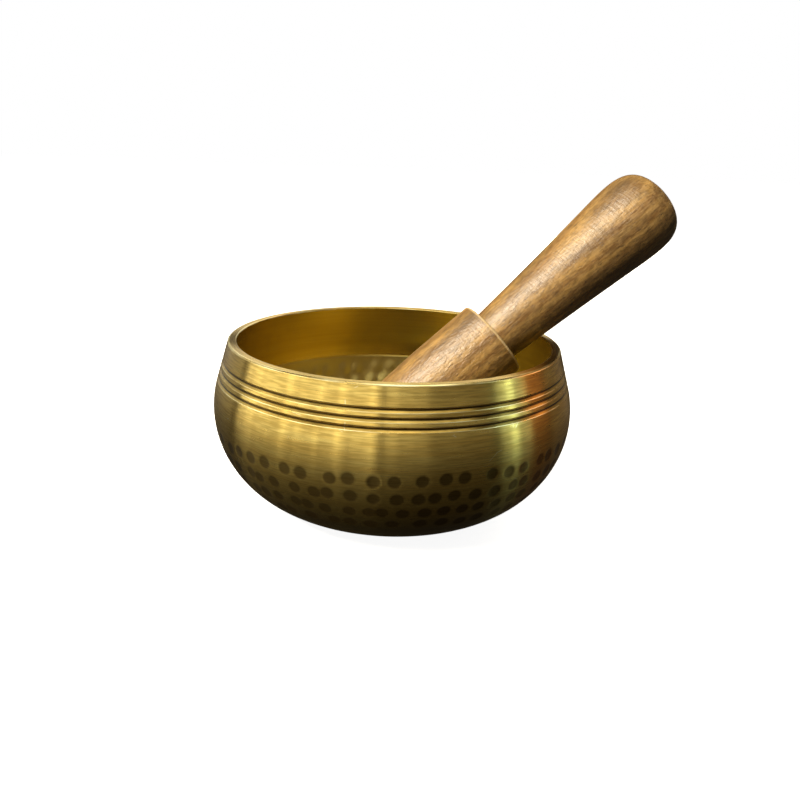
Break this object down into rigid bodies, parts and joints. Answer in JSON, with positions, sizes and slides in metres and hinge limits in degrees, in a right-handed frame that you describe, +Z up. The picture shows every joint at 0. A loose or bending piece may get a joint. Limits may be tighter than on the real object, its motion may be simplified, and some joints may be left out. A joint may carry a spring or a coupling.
{
  "type": "singing bowl",
  "caption": "Round brass singing bowl with a grooved neck and a hammered belly, and a turned wooden mallet that leans inside it and lifts out.",
  "frame": {"origin": "centre of the bowl's flat base, on the surface it stands on", "axes": "+Z up out of the bowl's mouth; the mallet leans towards +X, turned a little towards +Y"},
  "size_m": [0.1293, 0.1, 0.0924],
  "materials": {
    "brass": "lathe-brushed, with darkened hammer marks",
    "wood": "turned hardwood, waxed satin"
  },
  "bodies": {
    "bowl": {"bowl": "brass"},
    "mallet": {"mallet": "wood"}
  },
  "joints": [
    {"name": "mallet_lift", "type": "slide", "parent": "bowl", "child": "mallet", "axis": [0, 0, 1], "range_m": [0, 0.07]}
  ]
}
